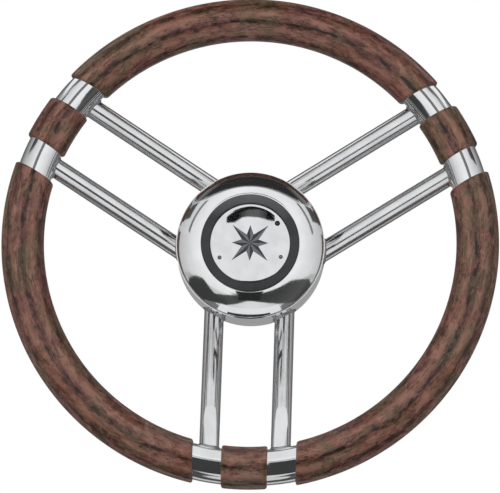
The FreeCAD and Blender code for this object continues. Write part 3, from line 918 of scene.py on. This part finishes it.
def disc_profile(hub):
    """The disc's section, from the middle of its back to the middle of its face."""
    edge_r = DISC_HIGH.x
    edge_front = disc_front(edge_r, hub) - hub.disc_edge
    profile = [(0, -DISC_HIGH.y), (edge_r, -DISC_HIGH.y)]
    profile += arc((edge_r - hub.disc_edge, edge_front), hub.disc_edge, 0, 86, 6)
    profile += [(share, disc_front(share, hub))
                for share in np.linspace(edge_r - hub.disc_edge, 0, 30)[1:]]
    return profile


def rose_points(hub):
    """Outline of the eight-pointed wind rose, as (radius, angle). The diagonal points are long."""
    outline = []
    for index in range(16):
        if index % 4 == 2:
            radius = hub.rose_long
        elif index % 4 == 0:
            radius = hub.rose_short
        else:
            radius = hub.rose_waist
        outline.append((radius, math.radians(90 + index * 22.5)))
    return outline


def on_disc(x, z, lift, hub):
    """A point that stands out a little from the disc's face."""
    return (x, -disc_front(math.hypot(x, z), hub) - lift, z)


# Dots round the wind rose: angle, share of the dots' radius, and 0 for dark or 1 for grey enamel
DOTS = ((37.5, 1.0, 0), (207.0, 0.78, 1), (-23.5, 0.78, 1))


def add_rose(hub):
    """Two-tone wind rose and three dots in thin enamel, which follow the disc's crown."""
    steps = ROSE_STEPS
    points = []
    faces = []
    tones = []
    outline = rose_points(hub)
    for index, (radius, angle) in enumerate(outline):
        next_radius, next_angle = outline[(index + 1) % len(outline)]
        start = np.array([radius * math.cos(angle), radius * math.sin(angle)])
        end = np.array([next_radius * math.cos(next_angle), next_radius * math.sin(next_angle)])
        for row in range(steps + 1):
            for share in (0.0, 1.0):
                place = (start + (end - start) * share) * row / steps
                points.append(on_disc(*place, hub.rose_relief, hub))
        first = len(points) - 2 * (steps + 1)
        for row in range(steps):
            corner = first + 2 * row
            faces.append((corner, corner + 1, corner + 3, corner + 2))
            tones.append(index % 2)
    for turned, size, tone in DOTS:
        angle = math.radians(turned)
        centre = np.array([math.cos(angle), math.sin(angle)]) * hub.dot_circle
        first = len(points)
        points.append(on_disc(*centre, hub.rose_relief, hub))
        for step in range(DOT_STEPS):
            turn = math.radians(360 / DOT_STEPS * step)
            place = centre + np.array([math.cos(turn), math.sin(turn)]) * hub.dot_radius * size
            points.append(on_disc(*place, hub.rose_relief, hub))
            faces.append((first, first + 1 + step, first + 1 + (step + 1) % DOT_STEPS))
            tones.append(tone)
    piece = add_piece("wind_rose", points, faces, ["enamel_dark", "enamel_grey"],
                      face_materials=tones)
    solid = piece.modifiers.new("enamel_thickness", "SOLIDIFY")
    solid.thickness = 2 * hub.rose_relief
    solid.offset = -1 if piece.data.polygons[0].normal.y < 0 else 1
    return piece


def direction(azimuth, elevation):
    """Unit vector towards an azimuth (0 in front, 90 to the right) and an elevation, in degrees."""
    a = math.radians(azimuth)
    e = math.radians(elevation)
    return Vector((math.sin(a) * math.cos(e), -math.cos(a) * math.cos(e), math.sin(e)))


def facing(place, target):
    """A turn that points -Z from a place at a target, with Y upwards."""
    return (target - place).to_track_quat("-Z", "Y")


def plain_surface(name, colour, roughness):
    """A matt material with a faint unevenness of tone."""
    material, tree, shader = new_material(name)
    tone = noise(tree, object_place(tree), 3.0, detail=2.0)
    darker = [value * 0.97 for value in colour]
    tree.links.new(colour_mix(tree, between(tree, tone, 0.3, 0.7), colour, darker),
                   shader.inputs["Base Color"])
    shader.inputs["Roughness"].default_value = roughness
    return material


def card_material():
    """The material of every reflection card: the tone that its mesh holds, point by point."""
    material = bpy.data.materials.new("reflection_card")
    material.use_nodes = True
    tree = material.node_tree
    tree.nodes.clear()
    output = add_node(tree, "ShaderNodeOutputMaterial")
    tone = add_node(tree, "ShaderNodeAttribute", attribute_name=CARD_TONE).outputs["Fac"]
    light = add_node(tree, "ShaderNodeEmission", {0: tone, 1: 1.0})
    tree.links.new(light.outputs[0], output.inputs[0])
    return material


def add_card(name, points, rows, columns, tones):
    """A card that only polished surfaces see. Its tone runs through the tones, column by column."""
    mesh = bpy.data.meshes.new(name)
    mesh.from_pydata(points, [], grid_faces(rows, columns))
    column_tones = np.interp(np.linspace(0, len(tones) - 1, columns), range(len(tones)), tones)
    attribute = mesh.attributes.new(CARD_TONE, "FLOAT", "POINT")
    attribute.data.foreach_set("value", np.tile(column_tones, rows).astype(np.float32))
    mesh.materials.append(bpy.data.materials["reflection_card"])
    card = bpy.data.objects.new(name, mesh)
    card.visible_camera = False
    card.visible_diffuse = False
    card.visible_transmission = False
    card.visible_shadow = False
    bpy.context.scene.collection.objects.link(card)
    return card


def add_round_card(name, distance, azimuths, elevations, *tones):
    """A card bent round the wheel at a distance, between angles in degrees.

    Elevations are one pair, or several that follow each other at even steps of azimuth.
    """
    pairs = np.atleast_2d(elevations)
    columns = max(2, len(pairs), round((azimuths[1] - azimuths[0]) / CARD_STEP) + 1)
    rows = max(2, round(np.ptp(pairs) / CARD_STEP) + 1)
    stops = np.linspace(0, 1, len(pairs))
    low, high = (np.interp(np.linspace(0, 1, columns), stops, pairs[:, side]) for side in (0, 1))
    points = [RIM_CENTRE + direction(azimuth, elevation) * distance
              for share in np.linspace(0, 1, rows)
              for azimuth, elevation in zip(np.linspace(*azimuths, columns),
                                            low + (high - low) * share)]
    return add_card(name, points, rows, columns, tones)


def add_flat_card(name, centre, half_along, half_across, tone):
    """A small flat card near the wheel, from its centre and two vectors to its edges."""
    centre, along, across = Vector(centre), Vector(half_along), Vector(half_across)
    points = [centre - along - across, centre + along - across, centre - along + across,
              centre + along + across]
    return add_card(name, points, 2, 2, [tone])


# What the steel mirrors, at studio distance: name, distance, azimuths, elevations, and tones from
# the first azimuth to the last
ROUND_CARDS = (
    ("card_overhead", 1.05, (-180, 180), (62, 90), 0.03),
    ("card_high_front", 1.04, (-52, 52), (45, 62), 0.03),
    ("card_high_left", 1.04, (-80, -52), (43, 62), 0.30, 0.04),
    ("card_high_right", 1.04, (52, 80), (43, 62), 0.04, 0.30),
    ("card_side_left", 1.05, (-126, -14), (-14, 43), 0.20, 0.38, 0.60, 0.74, 0.88, 1.0),
    ("card_side_right", 1.05, (14, 126), (-14, 43), 1.0, 0.88, 0.74, 0.60, 0.38, 0.20),
    ("card_low_window", 1.0, (-44, 44), (-65, -15), 0.60, 0.85, 0.60),
    ("card_white_left", 1.04, (-56, -8), (-15, 1), 0.8, 1.0),
    ("card_white_right", 1.04, (8, 56), (-15, 1), 1.0, 0.8),
    ("card_low_left", 1.03, (-130, -46), (-63, -40), 0.20),
    ("card_low_right", 1.03, (46, 130), (-63, -40), 0.20),
    ("card_back", 1.05, (125, 235), (-45, 63), 0.16),
    ("card_back_middle", 1.04, (162, 198), (-25, 8), 0.36),
    ("card_high_edge", 1.045, (-50, 50), (41.5, 46), 0.30),
    ("card_crescent", 1.04, (-8.6, 5.8), ((16.0, 17.8), (16.2, 19.9), (17.8, 20.9), (18.2, 21.5),
                                          (18.0, 21.3), (17.2, 20.7), (16.8, 18.8)), 0.01),
    ("card_crescent_middle", 1.03, (-5.0, 3.4), ((17.6, 19.0), (18.0, 20.2), (17.9, 20.3),
                                                 (17.5, 19.6)), 0.02, 0.14, 0.10, 0.16, 0.05),
    ("card_upper_left", 0.94, (-87, -60), ((27.7, 39.5), (28.2, 42.0)), 0.04, 0.10),
    ("card_upper_right", 0.94, (59, 87), ((28.3, 42.5), (28.0, 40.0)), 0.10, 0.04),
    ("card_front_end_left", 0.95, (-81.0, -28.5), ((-42.5, -27.0), (-43.0, -19.8), (-44.0, -17.5),
                                                   (-44.8, -14.9), (-45.0, -12.8),
                                                   (-45.2, -10.9)), 0.05),
    ("card_front_left", 0.95, (-28.5, -2.5), ((-45.2, -26.0), (-42.5, -23.0), (-39.0, -19.0),
                                              (-34.0, -14.0), (-25.0, -3.1)), 0.05, 0.08, 0.04),
    ("card_front_middle", 0.95, (-2.5, 1.7), (-24.8, -3.1), 0.03),
    ("card_front_right", 0.95, (1.7, 78.0), ((-26.0, -3.1), (-37.0, -6.4), (-43.6, -12.8),
                                             (-46.0, -16.8), (-46.3, -18.6),
                                             (-43.0, -25.0)), 0.04, 0.07, 0.10, 0.05),
    ("card_low_side_left", 0.96, (-100, -64), (-46, -22), 0.26),
    ("card_low_side_right", 0.96, (64, 100), (-46, -22), 0.26),
    ("card_below_left", 0.93, (-175, -34), (-78, -62), 0.08),
    ("card_below_right", 0.93, (34, 175), (-78, -62), 0.08),
)
# Small flat cards near the wheel: name, centre, half vectors along and across, tone
FLAT_CARDS = (
    ("card_band_left", (-0.146, -0.162, 0.104), (0.025, 0, 0.043), (-0.0145, 0, 0.0084), 0.20),
    ("card_band_right", (0.149, -0.160, 0.108), (-0.025, 0, 0.043), (0.0145, 0, 0.0084), 0.20),
    ("card_band_bottom_left", (-0.036, -0.091, -0.173), (0.021, 0, 0), (0, 0.012, -0.035), 0.05),
    ("card_band_bottom_right", (0.036, -0.091, -0.173), (0.021, 0, 0), (0, 0.012, -0.035), 0.05),
    ("card_shelf_pale", (0, -0.072, -0.112), (0.062, 0, 0), (0, 0.030, 0), 0.90),
    ("card_shelf_dark", (0, -0.0395, -0.062), (0.020, 0, 0), (0, 0.0035, 0), 0.04),
    ("card_under_cap", (-0.0003, -0.075, -0.0425), (0.011, 0, 0), (0, 0, 0.012), 0.02),
)


def add_lamp(name, azimuth, elevation, distance, size, power):
    """A large soft lamp that looks at the middle of the rim, and that steel doesn't mirror."""
    light = bpy.data.lights.new(name, "AREA")
    light.shape = "RECTANGLE"
    light.size = size[0]
    light.size_y = size[1]
    light.energy = power
    lamp = bpy.data.objects.new(name, light)
    lamp.location = RIM_CENTRE + direction(azimuth, elevation) * distance
    lamp.rotation_mode = "QUATERNION"
    lamp.rotation_quaternion = facing(lamp.location, RIM_CENTRE)
    lamp.visible_glossy = False
    bpy.context.scene.collection.objects.link(lamp)
    return lamp


def add_camera(studio):
    """The camera at the photograph's angle, a little under the wheel and leaning slightly."""
    side = math.degrees(studio.camera_right)
    below = math.degrees(studio.camera_below)
    back = direction(side, -below)
    right = Vector((0, 0, 1)).cross(back).normalized()
    up = back.cross(right)
    lean = studio.camera_roll
    leaning_right = right * math.cos(lean) + up * math.sin(lean)
    leaning_up = up * math.cos(lean) - right * math.sin(lean)
    aim = RIM_CENTRE - leaning_up * studio.aim_drop
    data = bpy.data.cameras.new("camera")
    data.lens = studio.camera_lens
    camera = bpy.data.objects.new("camera", data)
    turn = Matrix((leaning_right, leaning_up, back)).transposed()
    camera.matrix_world = Matrix.Translation(aim + back * studio.camera_distance) @ turn.to_4x4()
    bpy.context.scene.collection.objects.link(camera)
    bpy.context.scene.camera = camera
    return camera


def light_room(studio):
    """Even light from all round, and white where the camera, metal or glass look past the wheel."""
    world = bpy.data.worlds.new("room")
    bpy.context.scene.world = world
    world.use_nodes = True
    tree = world.node_tree
    tree.nodes.clear()
    path = add_node(tree, "ShaderNodeLightPath").outputs
    seen = calculate(tree, "MAXIMUM", path["Is Camera Ray"], path["Is Glossy Ray"])
    seen = calculate(tree, "MAXIMUM", seen, path["Is Transmission Ray"])
    strength = between(tree, seen, 0.0, 1.0, studio.daylight, 1.0)
    background = add_node(tree, "ShaderNodeBackground", {0: (1, 1, 1, 1), 1: strength})
    output = add_node(tree, "ShaderNodeOutputWorld")
    tree.links.new(background.outputs[0], output.inputs[0])


def add_floor(studio):
    """A large pale floor under the wheel."""
    plain_surface("pale_floor", (0.86, 0.86, 0.86), 0.7)
    mesh = bpy.data.meshes.new("floor")
    corners = [(side * FLOOR_HALF, end * FLOOR_HALF, studio.floor_height)
               for side, end in ((-1, -1), (1, -1), (1, 1), (-1, 1))]
    mesh.from_pydata(corners, [], [(0, 1, 2, 3)])
    mesh.materials.append(bpy.data.materials["pale_floor"])
    floor = bpy.data.objects.new("floor", mesh)
    bpy.context.scene.collection.objects.link(floor)
    return floor


class WHEEL_OT_stage(bpy.types.Operator):
    """Set the camera, the floor, the lamps and the reflection cards"""

    bl_idname = "wheel.stage"
    bl_label = "Studio"

    def execute(self, context):
        studio = context.scene.wheel_studio
        context.scene.view_settings.view_transform = "Standard"
        add_camera(studio)
        light_room(studio)
        add_floor(studio)
        card_material()
        for card in ROUND_CARDS:
            add_round_card(*card)
        for card in FLAT_CARDS:
            add_flat_card(*card)
        add_lamp("key_lamp", -38, 32, 2.4, (1.4, 1.0), studio.key_power)
        add_lamp("fill_lamp", 48, 12, 2.6, (1.2, 1.4), studio.fill_power)
        return {"FINISHED"}


class WHEEL_OT_materials(bpy.types.Operator):
    """Make the finishes of every piece"""

    bl_idname = "wheel.materials"
    bl_label = "Finishes"

    def execute(self, context):
        make_materials(context)
        return {"FINISHED"}


class WHEEL_OT_ring(bpy.types.Operator):
    """Polish the ring that carries the grips"""

    bl_idname = "wheel.ring"
    bl_label = "Rim ring"

    def execute(self, context):
        finish_node("rim_ring", "ring_steel")
        return {"FINISHED"}


class WHEEL_OT_grips(bpy.types.Operator):
    """Mould the long and short burl grips on the ring"""

    bl_idname = "wheel.grips"
    bl_label = "Grips"

    def execute(self, context):
        rim = context.scene.wheel_rim
        for place, (first, last) in LONG_GRIPS.items():
            start = rim.long_grip_start
            add_grip("long_grip_" + place, (first, start, 1), (last, -start, -1), rim)
        for place, (angle, _) in SPOKE_PAIRS.items():
            half = rim.short_grip_half
            add_grip("short_grip_" + place, (angle, -half, 1), (angle, half, -1), rim)
        return {"FINISHED"}


class WHEEL_OT_spokes(bpy.types.Operator):
    """Cope and polish the six tubular spokes"""

    bl_idname = "wheel.spokes"
    bl_label = "Spokes"

    def execute(self, context):
        for name, angle, side in each_spoke():
            add_spoke(name, angle, side, context.scene.wheel_spokes)
        return {"FINISHED"}


class WHEEL_OT_welds(bpy.types.Operator):
    """Lay the rippled weld beads at both ends of the spokes"""

    bl_idname = "wheel.welds"
    bl_label = "Welds"

    def execute(self, context):
        for which, name in enumerate(("hub_welds", "rim_welds")):
            add_welds(name, which, context.scene.wheel_spokes)
        return {"FINISHED"}


class WHEEL_OT_cup(bpy.types.Operator):
    """Polish the drawn cup that carries the spokes"""

    bl_idname = "wheel.cup"
    bl_label = "Hub cup"

    def execute(self, context):
        finish_node("hub_cup", "hub_steel")
        return {"FINISHED"}


class WHEEL_OT_dome(bpy.types.Operator):
    """Press and polish the domed cover"""

    bl_idname = "wheel.dome"
    bl_label = "Hub dome"

    def execute(self, context):
        profile = dome_profile(context.scene.wheel_hub)
        add_piece("dome_cover", turned_grid(profile, DOME_STEPS),
                  grid_faces(DOME_STEPS, len(profile), True, True), ["hub_steel"],
                  ["hub_dome"])
        return {"FINISHED"}


class WHEEL_OT_rubbers(bpy.types.Operator):
    """Give the gasket and the cap's seal their rubber"""

    bl_idname = "wheel.rubbers"
    bl_label = "Gasket and seal"

    def execute(self, context):
        for node in ("hub_gasket", "cap_seal"):
            finish_node(node, "soft_rubber")
        return {"FINISHED"}


class WHEEL_OT_boss(bpy.types.Operator):
    """Turn the boss and its screws bright"""

    bl_idname = "wheel.boss"
    bl_label = "Boss and screws"

    def execute(self, context):
        finish_node("hub_boss", "turned_aluminium")
        finish_node("boss_screws", "bright_screw")
        return {"FINISHED"}


class WHEEL_OT_cap(bpy.types.Operator):
    """Finish the moulded cap and set its disc and wind rose"""

    bl_idname = "wheel.cap"
    bl_label = "Cap"

    def execute(self, context):
        hub = context.scene.wheel_hub
        finish_node("cap_body", "moulded_plastic")
        profile = disc_profile(hub)
        add_piece("disc_plate", turned_grid(profile, DISC_STEPS),
                  grid_faces(DISC_STEPS, len(profile), True, False), ["spun_disc"],
                  ["cap_disc"])
        add_rose(hub)
        return {"FINISHED"}


STEPS = (WHEEL_OT_stage, WHEEL_OT_materials, WHEEL_OT_ring, WHEEL_OT_grips, WHEEL_OT_spokes,
         WHEEL_OT_welds, WHEEL_OT_cup, WHEEL_OT_dome, WHEEL_OT_rubbers, WHEEL_OT_boss, WHEEL_OT_cap)
SIZE_GROUPS = {
    "wheel_rim": RimSizes,
    "wheel_spokes": SpokeSizes,
    "wheel_hub": HubSizes,
    "wheel_finishes": Finishes,
    "wheel_studio": StudioSizes,
}


class WHEEL_PT_panel(bpy.types.Panel):
    """Lists the steps that make the wheel, and its sizes"""

    bl_label = "Steering Wheel"
    bl_idname = "WHEEL_PT_panel"
    bl_space_type = "VIEW_3D"
    bl_region_type = "UI"
    bl_category = "Steering Wheel"

    def draw(self, context):
        for step in STEPS:
            self.layout.operator(step.bl_idname)
        for attribute, group in SIZE_GROUPS.items():
            box = self.layout.box()
            box.label(text=group.__name__)
            for name in group.__annotations__:
                box.prop(getattr(context.scene, attribute), name)


def register():
    """Make the sizes, the operators and the panel known."""
    for attribute, group in SIZE_GROUPS.items():
        bpy.utils.register_class(group)
        setattr(bpy.types.Scene, attribute, PointerProperty(type=group))
    for entry in (*STEPS, WHEEL_PT_panel):
        bpy.utils.register_class(entry)


def unregister():
    """Take away what register has made known."""
    for entry in reversed((*STEPS, WHEEL_PT_panel)):
        bpy.utils.unregister_class(entry)
    for attribute, group in SIZE_GROUPS.items():
        delattr(bpy.types.Scene, attribute)
        bpy.utils.unregister_class(group)


def main():
    """Make the whole scene."""
    register()
    for step in STEPS:
        area, name = step.bl_idname.split(".")
        getattr(getattr(bpy.ops, area), name)()


if __name__ == "__main__":
    main()
